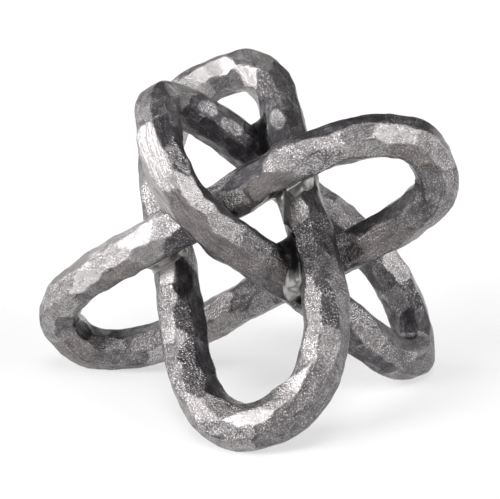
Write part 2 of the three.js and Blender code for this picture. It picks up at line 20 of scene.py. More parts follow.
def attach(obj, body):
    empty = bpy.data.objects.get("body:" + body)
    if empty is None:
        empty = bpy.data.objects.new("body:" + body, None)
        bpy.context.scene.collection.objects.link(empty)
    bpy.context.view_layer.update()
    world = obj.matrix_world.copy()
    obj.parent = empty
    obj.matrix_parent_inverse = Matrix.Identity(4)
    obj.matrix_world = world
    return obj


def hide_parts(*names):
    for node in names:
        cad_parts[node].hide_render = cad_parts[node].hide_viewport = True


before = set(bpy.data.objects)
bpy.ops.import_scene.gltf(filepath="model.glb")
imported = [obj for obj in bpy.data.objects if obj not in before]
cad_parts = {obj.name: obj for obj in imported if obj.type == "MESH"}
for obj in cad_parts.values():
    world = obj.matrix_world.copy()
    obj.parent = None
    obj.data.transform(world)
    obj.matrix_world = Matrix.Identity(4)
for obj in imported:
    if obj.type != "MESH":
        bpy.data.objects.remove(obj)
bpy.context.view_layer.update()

MM = 0.001
FULL_TURN = 2 * math.pi
SMALL_TURN = 1e-4
UP = np.array([0.0, 0.0, 1.0])
NOISE_STEP = Vector((17.0, 5.0, 11.0))

# The hammered surface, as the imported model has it: lanes of flats, their pitch and depth,
# the hollow that the hammer's face leaves, and the unevenness of handwork
LANES = 7
FLAT_PITCH = 13.0
FLAT_DEPTH = 0.7
FLAT_DEPTH_SPREAD = 0.3
HAMMER_FACE_RADIUS = 60.0
RIDGE_LIMIT = 0.6
LANE_WANDER = 10.0
LENGTHWISE_SPREAD = 0.3
ROUNDABOUT_SPREAD = 0.15
CLEAR_OF_SEATS = 0.4
CLEAR_OF_MARKED = 0.8

# Where the bars meet and stand
SEAT_FLAT_DEPTH = 0.5
SEAT_DRESSING = 0.25
SEAT_SPAN = 18.0
DRESSED_HEIGHT = 3.0
FOOT_FLAT_DEPTH = 0.5
SEAT_GAP = 0.3
WIDEST_SHARE = 0.95

# The repeatable random numbers: each is the last one times the factor plus the step
RANDOM_FACTOR = 1664525
RANDOM_STEP = 1013904223
RANDOM_RANGE = 4294967296

# Columns of a finish, as a look has them
POLISH, SPECKLE, PITTING = 0, 1, 4

# What a link takes each pattern of noise for, counted from its seed
PIT_NOISE, ALONG_NOISE, AROUND_NOISE, EDGE_NOISE, SEAM_NOISE = range(2, 7)

log = logging.getLogger("link_sculpture")


class Look(Enum):
    """What casting and finishing left on a flat: how far it is ground bright, how much cast
    grain shows in it, how warm its tint is, how far it is brushed along the bar, and how
    deeply it is pitted. The tables of flats also use these looks as painted light and
    shade, giving a flat a brighter or darker look for how the lamps light it."""

    WHITE = (0.97, 0.45, 0.1, 0.3, 0.0)
    BRUSHED = (0.71, 0.2, 0.3, 1.0, 0.05)
    BRIGHT = (0.62, 0.55, 0.15, 0.25, 0.0)
    FROSTED = (0.66, 0.9, 0.25, 0.0, 0.1)
    SPOT = (0.58, 0.6, 0.1, 0.2, 0.0)
    SPECKLED = (0.48, 0.7, 0.1, 0.0, 0.1)
    LIGHT = (0.48, 0.45, 0.3, 0.25, 0.0)
    TAN = (0.34, 0.5, 0.9, 0.45, 0.0)
    MID = (0.33, 0.6, 0.3, 0.1, 0.05)
    SALTED = (0.24, 1.1, 0.1, 0.0, 0.2)
    GREY = (0.24, 0.45, 0.15, 0.3, 0.0)
    DULL = (0.19, 0.95, 0.1, 0.0, 0.1)
    DARK = (0.06, 0.35, 0.05, 0.35, 0.0)
    PITTED = (0.6, 0.9, 0.1, 0.0, 1.0)


class Metal(Enum):
    """The two metals of the record, by their slot names."""

    CAST = "cast_aluminium"
    WELD = "weld_aluminium"


# What the hammer left on the flats that nobody marked, each as often as it stands here
PLAIN_LOOKS = (
    Look.GREY, Look.MID, Look.DULL, Look.TAN, Look.GREY, Look.LIGHT, Look.MID, Look.SPECKLED,
    Look.DARK, Look.GREY, Look.TAN, Look.BRIGHT,
)


def linear(colour: str) -> tuple[float, float, float, float]:
    """Turns an sRGB colour to linear light.

    Args:
        colour: the colour as six hex digits.

    Returns:
        Red, green, blue and an alpha of 1.
    """
    shares = [int(colour[i:i + 2], 16) / 255 for i in (0, 2, 4)]
    light = [s / 12.92 if s <= 0.04045 else ((s + 0.055) / 1.055) ** 2.4 for s in shares]
    return light[0], light[1], light[2], 1.0


def per_metre(spacing: float) -> float:
    """The scale of a pattern whose marks lie that many millimetres apart."""
    return 1.0 / (spacing * MM)


def add_node(tree: bpy.types.NodeTree, kind: str, inputs: dict,
             **settings: object) -> bpy.types.Node:
    """Adds a shader node.

    Args:
        tree: the node tree that it goes into.
        kind: the node's type name, without the prefix that all of them have.
        inputs: what goes into its sockets, by socket name or number: an output, or another
            node's first output, is linked, and anything else is the socket's own value.
        settings: the node's own settings, by name.

    Returns:
        The node.
    """
    node = tree.nodes.new("ShaderNode" + kind)
    for name, value in settings.items():
        setattr(node, name, value)
    for name, value in inputs.items():
        if isinstance(value, bpy.types.Node):
            value = value.outputs[0]
        if isinstance(value, bpy.types.NodeSocket):
            tree.links.new(value, node.inputs[name])
        else:
            node.inputs[name].default_value = value
    return node


def new_material(name: str) -> tuple[bpy.types.Material, bpy.types.NodeTree, bpy.types.Node]:
    """Starts a material.

    Args:
        name: the material's name.

    Returns:
        The material, its emptied node tree and its output node.
    """
    material = bpy.data.materials.new(name)
    material.use_nodes = True
    tree = material.node_tree
    tree.nodes.clear()
    return material, tree, tree.nodes.new("ShaderNodeOutputMaterial")


@dataclass(frozen=True)
class SandCastAluminium:
    """Sand-cast aluminium, hammered and then ground on its raised flats.

    The casting's skin is dull and dark, because the sand's grain and the oxide in it
    scatter the light. Where a flat has been ground, the metal is bright, and half-ground
    flats sparkle, because only the tops of the grain have been touched. Some flats have a
    warm tint. Beside the seats where the bars meet, the colour is darkened as painted
    shade, for the shade that falls between the bars.
    Spacings and heights are in millimetres.
    """

    name: str = "sand_cast_aluminium_hammered"
    skin: str = "4b494d"
    ground: str = "dad6d6"
    warm_tint: str = "857d78"
    # painted shade: the near-black that darkens the bars beside their seats, where shade falls
    # between the bars
    painted_shade: str = "1f1f21"
    skin_roughness: float = 0.31
    ground_roughness: float = 0.24
    grain: float = 0.6
    crystals: float = 0.8
    crystal_share: float = 0.42
    grain_range: tuple[float, float] = (0.08, 0.5)
    tops_range: tuple[float, float] = (0.8, 1.22)
    patches: float = 5.0
    cloudiness: float = 0.9
    streaks: float = 0.6
    grain_height: float = 0.34
    streak_height: float = 0.05
    sparkle: float = 0.9
    brush_marks: float = 1.7

    def make(self) -> bpy.types.Material:
        """Builds the material. The cast grain is drawn at the coarse end of its range,
        because a grain of half a millimetre would be too fine to show.

        Returns:
            The material.
        """
        material, tree, output = new_material(self.name)
        node = partial(add_node, tree)
        place = node("TexCoord", {}).outputs["Object"]
        look = node("Attribute", {}, attribute_name="look")
        finish = node("SeparateColor", {"Color": look.outputs["Color"]})
        polish, speckle, warmth = finish.outputs
        skin_place = node("Attribute", {}, attribute_name="skin")
        grain = node("TexNoise", {
            "Vector": place, "Scale": per_metre(self.grain), "Detail": 2.0, "Roughness": 0.65,
        })
        crystals = node("TexVoronoi", {"Vector": place, "Scale": per_metre(self.crystals)})
        patches = node("TexNoise", {
            "Vector": place, "Scale": per_metre(self.patches), "Detail": 5.0, "Roughness": 0.65,
        })
        streaks = node("TexNoise", {
            "Vector": skin_place.outputs["Vector"], "Scale": per_metre(self.streaks),
            "Detail": 2.0,
        })
        clouded = node("Math", {
            0: patches, 1: self.cloudiness, 2: -self.cloudiness / 2,
        }, operation="MULTIPLY_ADD")
        marks = node("Math", {
            0: streaks, 1: self.brush_marks, 2: -self.brush_marks / 2,
        }, operation="MULTIPLY_ADD")
        worn = node("Math", {0: marks, 1: look.outputs["Alpha"]}, operation="MULTIPLY")
        uneven = node("Math", {0: clouded, 1: worn}, operation="ADD")
        level = node("Math", {0: uneven, 1: polish}, operation="ADD", use_clamp=True)
        grains = node("Math", {
            0: crystals, 1: -self.crystal_share, 2: grain,
        }, operation="MULTIPLY_ADD")
        even_grain = node("MapRange", {
            "Value": grains, "From Min": self.grain_range[0], "From Max": self.grain_range[1],
        })
        reached = node("Math", {0: even_grain, 1: level}, operation="ADD")
        tops = node("MapRange", {
            "Value": reached, "From Min": self.tops_range[0], "From Max": self.tops_range[1],
        })
        grainy = node("Math", {0: speckle, 1: self.sparkle}, operation="MULTIPLY")
        brightness = node("Mix", {"Factor": grainy, 2: level, 3: tops}, data_type="FLOAT")
        bare = node("Mix", {
            "Factor": brightness, 6: linear(self.skin), 7: linear(self.ground),
        }, data_type="RGBA")
        # a warm tint on some flats, as strong as their look gives it, in patches
        tinted = node("Math", {0: warmth, 1: patches}, operation="MULTIPLY")
        colour = node("Mix", {
            "Factor": tinted, 6: bare.outputs[2], 7: linear(self.warm_tint),
        }, data_type="RGBA")
        # painted shade: beside the seats the colour is mixed towards near-black, for the shade
        # between the bars
        shade_attribute = node("Attribute", {}, attribute_name="painted_shade")
        painted_shading = node("Mix", {
            "Factor": shade_attribute.outputs["Fac"], 6: colour.outputs[2], 7: linear(self.painted_shade),
        }, data_type="RGBA")
        roughness = node("MapRange", {
            "Value": brightness, "To Min": self.skin_roughness, "To Max": self.ground_roughness,
        })
        hollows = node("Math", {0: crystals, 1: speckle}, operation="MULTIPLY")
        relief = node("Math", {0: grain, 1: hollows}, operation="ADD")
        grain_bump = node("Bump", {
            "Strength": 1.0, "Distance": self.grain_height * MM, "Height": relief,
        })
        bump = node("Bump", {
            "Strength": look.outputs["Alpha"], "Distance": self.streak_height * MM,
            "Height": streaks, "Normal": grain_bump,
        })
        shader = node("BsdfPrincipled", {
            "Base Color": painted_shading.outputs[2], "Metallic": 1.0,
            "Roughness": roughness, "Normal": bump,
        })
        tree.links.new(shader.outputs[0], output.inputs["Surface"])
        return material


@dataclass(frozen=True)
class WeldAluminium:
    """Aluminium weld metal, laid by hand.

    It froze smooth, so it is shinier than the casting, with soft ripples from the bead. It
    is darkened with painted shade where shade falls between the bars, clouded at random.
    Spacings and heights are in millimetres.
    """

    name: str = "weld_aluminium_bead"
    painted_shade: str = "242426"
    bead: str = "bcbbb9"
    painted_shade_roughness: float = 0.5
    roughness: float = 0.3
    ripples: float = 2.6
    clouds: float = 5.0
    ripple_height: float = 0.25
    unshaded_range: tuple[float, float] = (0.6, 1.5)

    def make(self) -> bpy.types.Material:
        """Builds the material.

        Returns:
            The material.
        """
        material, tree, output = new_material(self.name)
        node = partial(add_node, tree)
        place = node("TexCoord", {}).outputs["Object"]
        clouds = node("TexNoise", {
            "Vector": place, "Scale": per_metre(self.clouds), "Detail": 4.0, "Roughness": 0.6,
        })
        unshaded_attribute = node("Attribute", {}, attribute_name="unshaded")
        cloudy = node("Math", {0: clouds, 1: unshaded_attribute.outputs["Fac"]}, operation="ADD")
        unshaded = node("MapRange", {
            "Value": cloudy, "From Min": self.unshaded_range[0], "From Max": self.unshaded_range[1],
        })
        # painted shade: the weld metal is mixed towards near-black where shade falls between the
        # bars, clouded at random
        colour = node("Mix", {
            "Factor": unshaded, 6: linear(self.painted_shade), 7: linear(self.bead),
        }, data_type="RGBA")
        roughness = node("MapRange", {
            "Value": unshaded, "To Min": self.painted_shade_roughness, "To Max": self.roughness,
        })
        ripples = node("TexNoise", {
            "Vector": place, "Scale": per_metre(self.ripples), "Detail": 1.0,
        })
        bump = node("Bump", {
            "Strength": 1.0, "Distance": self.ripple_height * MM, "Height": ripples,
        })
        shader = node("BsdfPrincipled", {
            "Base Color": colour.outputs[2], "Metallic": 1.0,
            "Roughness": roughness, "Normal": bump,
        })
        tree.links.new(shader.outputs[0], output.inputs["Surface"])
        return material


@dataclass(frozen=True)
class PaleCard:
    """Pale photographer's card, matt and even, for the floor.

    It shows partly as plain white, to the eye and in the metal, so that it stays white and
    keeps a light shadow.
    """

    name: str = "pale_card_matt"
    card: str = "fdfdfd"
    roughness: float = 0.9
    plain_share: float = 0.57

    def make(self) -> bpy.types.Material:
        """Builds the material.

        Returns:
            The material.
        """
        material, tree, output = new_material(self.name)
        node = partial(add_node, tree)
        card = node("BsdfDiffuse", {"Color": linear(self.card), "Roughness": self.roughness})
        white = node("Emission", {"Color": (1, 1, 1, 1), "Strength": 1.0})
        ray = node("LightPath", {}).outputs
        seen = node("Math", {
            0: ray["Is Camera Ray"], 1: ray["Is Glossy Ray"],
        }, operation="MAXIMUM")
        seen = node("Math", {0: seen, 1: ray["Is Transmission Ray"]}, operation="MAXIMUM")
        share = node("Math", {0: seen, 1: self.plain_share}, operation="MULTIPLY")
        shader = node("MixShader", {0: share, 1: card, 2: white})
        tree.links.new(shader.outputs[0], output.inputs["Surface"])
        return material


def mesh_object(name: str, points: np.ndarray, faces: list[tuple[int, ...]]) -> bpy.types.Object:
    """Makes a smooth-shaded mesh object and puts it into the scene.

    Args:
        name: the object's name.
        points: its corners in millimetres, one row each.
        faces: its faces, as corner numbers.

    Returns:
        The object.
    """
    mesh = bpy.data.meshes.new(name)
    mesh.from_pydata((points * MM).tolist(), [], faces)
    mesh.polygons.foreach_set("use_smooth", [True] * len(mesh.polygons))
    mesh.update()
    made = bpy.data.objects.new(name, mesh)
    bpy.context.scene.collection.objects.link(made)
    return made


def paint(made: bpy.types.Object, name: str, kind: str, values: np.ndarray) -> None:
    """Gives each corner of an object a value that its material reads.

    Args:
        made: the object.
        name: the attribute's name.
        kind: the attribute's type.
        values: one value or one row for each corner.
    """
    setting = {"FLOAT": "value", "FLOAT_VECTOR": "vector", "FLOAT_COLOR": "color"}[kind]
    attribute = made.data.attributes.new(name, kind, "POINT")
    attribute.data.foreach_set(setting, values.ravel())


def roughen(points: np.ndarray, spacing: float, seed: int) -> np.ndarray:
    """Smooth noise of about -1 to 1 at some points.

    Args:
        points: the points in millimetres.
        spacing: how far apart its humps lie, in millimetres.
        seed: picks one of its patterns.

    Returns:
        One value for each point.
    """
    offset = NOISE_STEP * seed
    return np.array([noise.noise(Vector(p) / spacing + offset) for p in points.tolist()])


def shortest_way(difference: np.ndarray, period: float) -> np.ndarray:
    """A difference on a loop of the given period, taken the short way."""
    return difference - period * np.round(difference / period)


def random_from(seed: int) -> Iterator[float]:
    """Repeatable random numbers from 0 to 1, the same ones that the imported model's flats
    come from.

    Args:
        seed: the whole number that it starts from.

    Yields:
        One number after the other.
    """
    state = seed
    while True:
        state = (state * RANDOM_FACTOR + RANDOM_STEP) % RANDOM_RANGE
        yield state / RANDOM_RANGE


@dataclass
class Blow:
    """One flat: its place as a share of the bar's length, its angle round the bar from the
    outside of the oval in radians, its depth in millimetres, and its look."""

    along: float
    around: float
    depth: float
    look: Look


@dataclass
class OvalLink:
    """One link: an oval of hammered bar.

    Its long axis points along heading (turned from +X towards +Y) and rises from the table
    by rise; roll turns the oval about that axis, in degrees. Squareness is the exponent of
    the oval, and the sways are the slow waves of the pattern maker's hand, in millimetres.
    Each marked flat has its place along the bar in millimetres, where the bar is as long as
    marked_length, its angle round the bar in degrees, its depth and its look. Each tone has
    a place and an angle too, and the look of the plain flat that lies there. These looks are
    partly the metal's own finish and partly painted light and shade: a flat that the lamps
    leave too dark or too light is given a brighter or darker look. Closing is the
    place of the closing weld as a share of the bar's length, and its width.

    The rest is the skin's fine work in millimetres: pairs are a spacing and a height. Wander
    shifts the ridges, edge_waves soften them here and there, and along the seams they are
    worn bright or torn. The rim is how broad, polished and strong such a line is, and the
    spot how big, soft and long a bright spot is. Painted shade reaches so far from a seat,
    darkening the bar where shade falls between the bars, and covers so much of the grain;
    brush marks are so many times longer than broad. Batches save memory.
    """

    name: str
    middle: tuple[float, float, float]
    heading: float
    rise: float
    roll: float
    half_length: float
    half_width: float
    squareness: float
    bar_radius: float
    pear: tuple[float, float]
    lean: float
    corner: tuple[float, float]
    twist: tuple[float, float]
    ripple: tuple[float, float]
    foot_end: int
    seed: int
    marked_length: float
    flats: tuple[tuple[float, float, float, Look], ...]
    tones: tuple[tuple[float, float, Look], ...]
    closing: tuple[float, float] | None = None
    samples: int = 6000
    skin_step: float = 0.65
    ridge_softness: float = 0.02
    finish_softness: float = 0.045
    wander: tuple[float, float] = (5.5, 1.3)
    cast_waves: tuple[tuple[float, float], ...] = ((10.0, 0.48), (3.8, 0.16))
    pits: tuple[tuple[float, float], ...] = ((2.8, 0.8), (1.6, 0.5))
    # painted shade beside the seats, for the shade between the bars: how far it reaches and how
    # much grain it covers
    painted_shade_reach: float = 11.0
    painted_shade_cover: float = 0.8
    brush_stretch: float = 12.0
    batches: int = 60
    edge_waves: tuple[float, float] = (9.0, 1.8)
    seams: tuple[float, float] = (5.0, 0.15)
    rim: tuple[float, float, float] = (0.5, 0.65, 0.8)
    spot: tuple[float, float, float] = (3.0, 0.7, 1.8)
    blows: list[Blow] = field(default_factory=list)

    def __post_init__(self) -> None:
        """Works out the oval's axes and measures the bar."""
        heading, rise = math.radians(self.heading), math.radians(self.rise)
        long = np.array([
            math.cos(rise) * math.cos(heading),
            math.cos(rise) * math.sin(heading),
            math.sin(rise),
        ])
        level = np.cross(UP, long)
        level /= np.linalg.norm(level)
        roll = math.radians(self.roll)
        short = level * math.cos(roll) + np.cross(long, level) * math.sin(roll)
        self.axes = np.array([long, short, np.cross(long, short)])
        self.turns = np.linspace(0.0, 1.0, self.samples + 1)
        steps = np.linalg.norm(np.diff(self.point_at_turn(self.turns), axis=0), axis=1)
        self.lengths = np.concatenate([[0.0], np.cumsum(steps)])
        self.length = float(self.lengths[-1])

    def point_at_turn(self, turn: np.ndarray) -> np.ndarray:
        """Points of the bar's middle line.

        Args:
            turn: turns round the oval, from 0 to 1.

        Returns:
            The points in the part's frame, one row each.
        """
        t = FULL_TURN * np.asarray(turn)
        c, s = np.cos(t), np.sin(t)
        power = self.squareness
        size = (np.abs(c) ** power + np.abs(s) ** power) ** (1 / power)
        outwards = (
            self.pear[0] * np.cos(3 * t) + self.pear[1] * np.sin(3 * t)
            + self.lean * np.sin(2 * t)
            + self.corner[0] * np.cos(4 * t) + self.corner[1] * np.sin(4 * t)
        )
        sideways = (
            self.twist[0] * np.cos(2 * t) + self.twist[1] * np.sin(2 * t)
            + self.ripple[0] * np.cos(3 * t) + self.ripple[1] * np.sin(3 * t)
        )
        flat = np.stack([
            self.half_length * c / size + outwards * c,
            self.half_width * s / size + outwards * s,
            sideways,
        ], axis=-1)
        return flat @ self.axes + np.array(self.middle)

    def turn_at(self, along: np.ndarray) -> np.ndarray:
        """The turn round the oval at a share of the bar's length."""
        return np.interp(np.mod(along, 1.0) * self.length, self.lengths, self.turns)

    def along_at(self, turn: float) -> float:
        """The share of the bar's length at a turn round the oval."""
        return float(np.interp(turn % 1.0, self.turns, self.lengths)) / self.length

    def bar_axes(self, along: np.ndarray) -> tuple[np.ndarray, np.ndarray, np.ndarray, np.ndarray]:
        """The bar's own axes.

        Args:
            along: shares of the bar's length.

        Returns:
            Points of the middle line, and the directions along the bar, outwards from the
            oval and to the oval's side, one row each.
        """
        turn = self.turn_at(along)
        point = self.point_at_turn(turn)
        tangent = self.point_at_turn(turn + SMALL_TURN) - self.point_at_turn(turn - SMALL_TURN)
        tangent /= np.linalg.norm(tangent, axis=-1, keepdims=True)
        side = self.axes[2] - (tangent @ self.axes[2])[..., None] * tangent
        side /= np.linalg.norm(side, axis=-1, keepdims=True)
        return point, tangent, np.cross(tangent, side), side

    def flat_facing(self, turn: float, direction: np.ndarray, depth: float) -> Blow:
        """A flat at a turn round the oval, facing a given way.

        Args:
            turn: the turn round the oval.
            direction: the way that it faces.
            depth: its depth in millimetres.

        Returns:
            The flat.
        """
        along = self.along_at(turn)
        _, _, outward, side = self.bar_axes(np.array([along]))
        around = math.atan2(float(direction @ side[0]), float(direction @ outward[0]))
        return Blow(along, around, depth, Look.DARK)

    def foot_turn(self) -> float:
        """The turn of the place on the foot end that is nearest to the table."""
        middle = 0.0 if self.foot_end > 0 else 0.5
        span = middle + np.linspace(-0.25, 0.25, self.samples)
        return float(span[np.argmin(self.point_at_turn(span)[:, 2])])

    def strike(self, seats: list[tuple[float, np.ndarray]]) -> None:
        """Sets out the link's flats: those of its seats and its foot, the marked ones, and
        the plain ones in their lanes, each clear of what is there already.

        Args:
            seats: each seat's turn round the oval, and the way that it faces.
        """
        draws = random_from(self.seed)
        looks = random_from(self.seed + 1)
        per_lane = round(self.length / FLAT_PITCH)
        lane_angle = FULL_TURN / LANES

        def uneven(amount: float) -> float:
            """The next random number from -amount to amount."""
            return amount * (2 * next(draws) - 1)

        def clear_of(flats: list[Blow], along: float, around: float, least: float) -> bool:
            """Whether a place keeps its distance from all the flats."""
            return all(math.hypot(
                shortest_way(along - flat.along, 1.0) * per_lane,
                shortest_way(around - flat.around, FULL_TURN) / lane_angle,
            ) > least for flat in flats)

        fixed = [self.flat_facing(turn, way, SEAT_FLAT_DEPTH) for turn, way in seats]
        fixed.append(self.flat_facing(self.foot_turn(), -UP, FOOT_FLAT_DEPTH))
        blows = list(fixed)
        for place, angle, depth, look in self.flats:
            along, around = place / self.marked_length, math.radians(angle)
            if clear_of(fixed, along, around, CLEAR_OF_SEATS):
                blows.append(Blow(along, around, depth, look))
        placed = list(blows)
        for lane in range(LANES):
            start = next(draws)
            for i in range(per_lane):
                along = ((i + start + uneven(LENGTHWISE_SPREAD)) / per_lane) % 1.0
                sway = math.radians(LANE_WANDER) * math.sin(2 * FULL_TURN * along + lane)
                around = lane_angle * (lane + uneven(ROUNDABOUT_SPREAD)) + sway
                depth = FLAT_DEPTH + uneven(FLAT_DEPTH_SPREAD)
                look = PLAIN_LOOKS[int(next(looks) * len(PLAIN_LOOKS))]
                if clear_of(placed, along, around, CLEAR_OF_MARKED):
                    blows.append(Blow(along, around, depth, look))
        for place, angle, look in self.tones:
            along, around = place / self.marked_length, math.radians(angle)
            nearest = min(blows, key=lambda blow: math.hypot(
                shortest_way(along - blow.along, 1.0) * self.length,
                shortest_way(around - blow.around, FULL_TURN) * self.bar_radius,
            ))
            nearest.look = look
        self.blows = blows

    def skin(self, along: np.ndarray, around: np.ndarray, edges: np.ndarray,
             seams: np.ndarray) -> tuple[np.ndarray, np.ndarray]:
        """The hammered skin: each flat is a shallow bowl on the rolled-out bar, and the
        deepest bowl shows. Ridges are rounded by blending the bowls that meet in them.

        Args:
            along: shares of the bar's length.
            around: angles round the bar.
            edges: noise that makes the ridges softer where it is high.
            seams: noise that leaves a ridge worn bright where it is high, and torn where low.

        Returns:
            The skin's height over the bar's nominal round in millimetres, and its look:
            polish, speckle, warmth, brushing and pitting.
        """
        middles = np.array([[b.along, b.around, b.depth] for b in self.blows])
        looks = np.array([b.look.value for b in self.blows])
        along_scale = self.length / math.sqrt(2 * HAMMER_FACE_RADIUS)
        around_scale = math.sqrt(self.bar_radius / 2)
        rim_width, rim_polish, rim_strength = self.rim
        spot_reach, spot_edge, spot_stretch = self.spot
        _, edge_spread = self.edge_waves
        _, tear_depth = self.seams
        spots = np.array([blow.look is Look.SPOT for blow in self.blows])
        heights, finishes = [], []
        for rows in np.array_split(np.arange(len(along)), self.batches):
            x = shortest_way(along[rows, None] - middles[:, 0], 1.0) * along_scale
            y = shortest_way(around[rows, None] - middles[:, 1], FULL_TURN) * around_scale
            bowls = x * x + y * y - middles[:, 2]
            deepest = bowls.min(axis=1, keepdims=True)
            soft = np.exp(edge_spread * edges[rows])
            ridge = self.ridge_softness * soft
            blend = np.exp((deepest - bowls) / ridge[:, None]).sum(axis=1)
            shares = np.exp((deepest - bowls) / (self.finish_softness * soft[:, None]))
            finish = (shares / shares.sum(axis=1, keepdims=True)) @ looks
            first, second = np.argpartition(bowls, 1, axis=1)[:, :2].T
            each = np.arange(len(rows))
            over = bowls[each, second] - bowls[each, first]
            turn = shortest_way(middles[first, 0] - middles[second, 0], 1.0) * self.length
            roll = shortest_way(middles[first, 1] - middles[second, 1], FULL_TURN)
            to_ridge = over / np.hypot(turn / HAMMER_FACE_RADIUS, roll)
            line = rim_strength * np.exp(-(to_ridge / rim_width) ** 2)
            worn = line * np.clip(2 * seams[rows], 0.0, 1.0)
            torn = line * np.clip(-2 * seams[rows], 0.0, 1.0)
            finish[:, POLISH] += worn * (rim_polish - finish[:, POLISH])
            finish[:, POLISH] *= 1 - torn
            heights.append(deepest[:, 0] - ridge * np.log(blend) - tear_depth * torn)
            beside = np.hypot(
                shortest_way(along[rows] - middles[first, 0], 1.0) * self.length / spot_stretch,
                shortest_way(around[rows] - middles[first, 1], FULL_TURN) * self.bar_radius,
            )
            outside = np.clip((beside - spot_reach) / spot_edge, 0.0, 1.0) * spots[first]
            finish += outside[:, None] * (np.array(Look.DARK.value) - finish)
            finishes.append(finish)
        height = np.minimum(np.concatenate(heights), RIDGE_LIMIT)
        return height, np.concatenate(finishes)

    def make_bar(self, name: str, start: float, end: float,
                 seats: list[tuple[np.ndarray, np.ndarray, float]]) -> bpy.types.Object:
        """Builds a stretch of the link's bar as a fine skin, closed round or capped.

        Args:
            name: the piece's name.
            start: the share of the bar's length that it starts at.
            end: the share that it ends at, start + 1 for the whole ring.
            seats: each seat as a point of the bar's middle line, the seat's direction and
            how much painted shade lies beside it.

        Returns:
            The object, with its look, its painted shade and its place on the rolled-out skin
            painted on it.
        """
        ring = end - start >= 1.0
        count = max(8, round((end - start) * self.length / self.skin_step))
        sides = round(FULL_TURN * self.bar_radius / self.skin_step)
        shares = start + (end - start) * np.arange(count + (not ring)) / count
        angles = FULL_TURN * np.arange(sides) / sides
        along = np.repeat(shares, sides)
        around = np.tile(angles, len(shares))
        point, _, outward, side = self.bar_axes(shares)
        point, outward, side = (np.repeat(v, sides, axis=0) for v in (point, outward, side))
        way = outward * np.cos(around)[:, None] + side * np.sin(around)[:, None]
        points = point + way * self.bar_radius
        spacing, reach = self.wander
        height, finish = self.skin(
            along + reach / self.length * roughen(points, spacing, self.seed + ALONG_NOISE),
            around + reach / self.bar_radius * roughen(points, spacing, self.seed + AROUND_NOISE),
            roughen(points, self.edge_waves[0], self.seed + EDGE_NOISE),
            roughen(points, self.seams[0], self.seed + SEAM_NOISE),
        )
        for seed, (spacing, depth) in enumerate(self.cast_waves, self.seed):
            height += depth * roughen(points, spacing, seed)
        for spacing, depth in self.pits:
            hole = np.clip(roughen(points, spacing, self.seed + PIT_NOISE), 0.0, 1.0)
            hole *= depth * finish[:, PITTING]
            height -= hole
            finish[:, POLISH] -= hole
        points = point + way * (self.bar_radius + height)[:, None]
        seat_height = self.bar_radius - SEAT_FLAT_DEPTH - SEAT_DRESSING
        # painted shade beside each seat, where shade falls between the bars, and the seat's flat
        # dressed down
        painted_shade = np.zeros(len(points))
        for middle, direction, painted_shading in seats:
            offset = points - middle
            near = np.exp(-(offset ** 2).sum(axis=1) / self.painted_shade_reach ** 2)
            finish[:, SPECKLE] *= 1 - self.painted_shade_cover * near
            painted_shade = np.maximum(painted_shade, painted_shading * near)
            over = offset @ direction - seat_height
            beside = np.linalg.norm(offset - np.outer(offset @ direction, direction), axis=1)
            dressed = (over > 0) & (over < DRESSED_HEIGHT) & (beside < SEAT_SPAN)
            lowered = np.where(dressed, over, 0.0)
            points -= np.outer(lowered, direction)
        points[:, 2] = np.maximum(points[:, 2], 0.0)
        rows = len(shares)
        faces = []
        for i in range(count):
            here, there = i * sides, ((i + 1) % rows) * sides
            for j in range(sides):
                k = (j + 1) % sides
                faces.append((here + j, there + j, there + k, here + k))
        if not ring:
            faces.append(tuple(range(sides)))
            faces.append(tuple(reversed(range((rows - 1) * sides, rows * sides))))
        made = mesh_object(name, points, faces)
        radius = self.bar_radius * MM
        rolled = np.stack([
            radius * np.cos(around), radius * np.sin(around),
            along * self.length * MM / self.brush_stretch,
        ], axis=1)
        paint(made, "look", "FLOAT_COLOR", finish[:, :PITTING])
        paint(made, "painted_shade", "FLOAT", painted_shade)
        paint(made, "skin", "FLOAT_VECTOR", rolled)
        return made


# Short names of the looks, for the tables of flats
W, B, S, L, T = Look.WHITE, Look.BRIGHT, Look.SPECKLED, Look.LIGHT, Look.TAN
M, G, U, D, P = Look.MID, Look.GREY, Look.DULL, Look.DARK, Look.PITTED
R, F, A, X = Look.BRUSHED, Look.FROSTED, Look.SALTED, Look.SPOT

